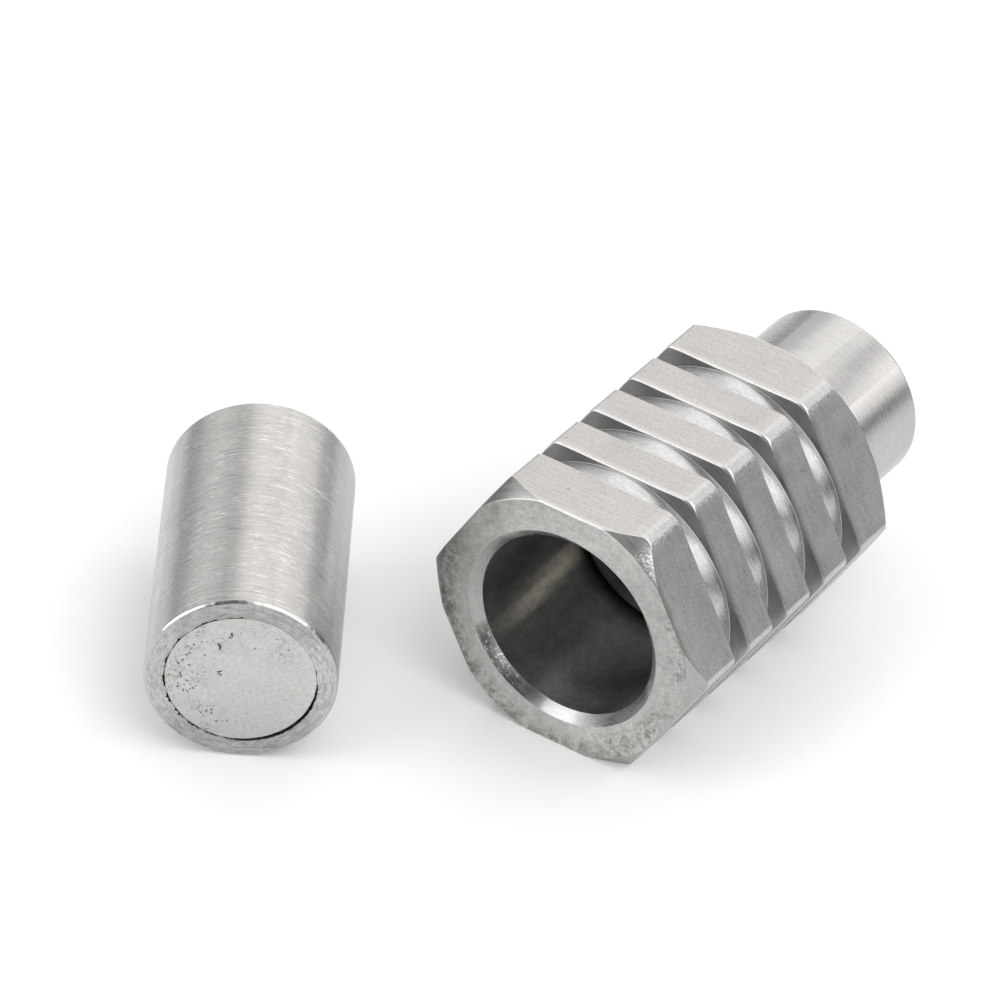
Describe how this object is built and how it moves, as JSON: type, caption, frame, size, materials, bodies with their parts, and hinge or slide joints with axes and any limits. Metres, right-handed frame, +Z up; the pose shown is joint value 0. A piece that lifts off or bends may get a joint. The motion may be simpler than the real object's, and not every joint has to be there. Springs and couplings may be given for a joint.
{
  "type": "magnetic clasp, two halves, open",
  "caption": "Open magnetic cord clasp: hexagonal grooved steel socket with a round stem, and a round steel plug with a flush disc magnet that slides into its bore.",
  "frame": {"origin": "middle of the box around both halves, on the surface that they lie on", "axes": "+Z up; +Y along the socket's bore, from its mouth to its stem; the plug lies turned 32 degrees about +Z from that"},
  "size_m": [0.023, 0.0272, 0.01],
  "materials": {
    "socket_steel": "satin flats with turned grooves, polished edges, stained front face",
    "plug_steel": "turned, fine scratches around the side, polished front edge",
    "socket_nickel": "nickel-plated magnet, satin",
    "plug_nickel": "nickel-plated magnet, satin with small pits"
  },
  "bodies": {
    "socket": {"socket_body": "socket_steel", "socket_magnet": "socket_nickel"},
    "plug": {"plug_body": "plug_steel", "plug_magnet": "plug_nickel"}
  },
  "joints": [
    {"name": "plug_slide", "type": "slide", "parent": "socket", "child": "plug", "axis": [0.532, -0.8468, 0], "range_m": [0, 0.0064]}
  ]
}
